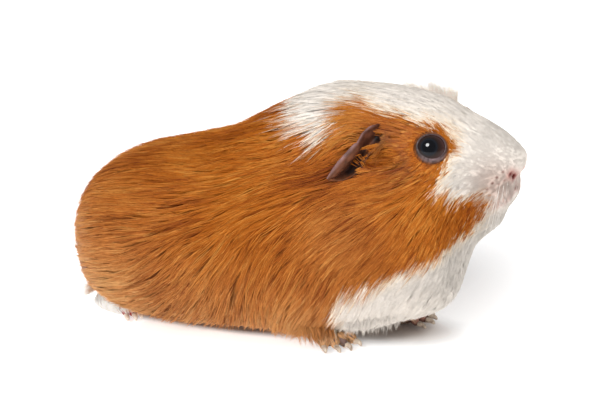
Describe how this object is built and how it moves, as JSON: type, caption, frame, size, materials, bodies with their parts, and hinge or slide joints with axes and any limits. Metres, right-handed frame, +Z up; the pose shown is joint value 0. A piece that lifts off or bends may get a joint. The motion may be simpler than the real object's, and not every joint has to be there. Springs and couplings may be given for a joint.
{
  "type": "guinea pig model",
  "caption": "Life-size still model of a young smooth-haired guinea pig, ginger and white, standing low with its head raised.",
  "frame": {"origin": "on the floor under the middle of the animal", "axes": "+X towards the nose, +Y to the animal's left, +Z up"},
  "size_m": [0.1825, 0.0884, 0.1019],
  "materials": {
    "coat_ginger": "short smooth ginger hair with a soft sheen, lying back along the body",
    "coat_white": "short smooth warm white hair",
    "ear_skin": "thin bare grey-brown skin of the ear, a little translucent",
    "paw_skin": "bare pink-brown skin of the feet under sparse hair",
    "eye": "wet, nearly black brown eye with a clear gloss",
    "claw": "pale horn of the claws, smooth and slightly clear"
  },
  "bodies": {
    "root": {"torso": "coat_ginger", "neck": "coat_white", "head": "coat_white", "foreleg_right": "coat_ginger", "hindleg_right": "coat_ginger", "forefoot_right": "paw_skin", "hindfoot_right": "paw_skin", "ear_right": "ear_skin", "eye_right": "eye", "claw_fore_right_1": "claw", "claw_fore_right_2": "claw", "claw_fore_right_3": "claw", "claw_fore_right_4": "claw", "claw_hind_right_1": "claw", "claw_hind_right_2": "claw", "claw_hind_right_3": "claw", "foreleg_left": "coat_ginger", "hindleg_left": "coat_ginger", "forefoot_left": "paw_skin", "hindfoot_left": "paw_skin", "ear_left": "ear_skin", "eye_left": "eye", "claw_fore_left_1": "claw", "claw_fore_left_2": "claw", "claw_fore_left_3": "claw", "claw_fore_left_4": "claw", "claw_hind_left_1": "claw", "claw_hind_left_2": "claw", "claw_hind_left_3": "claw"}
  },
  "joints": []
}
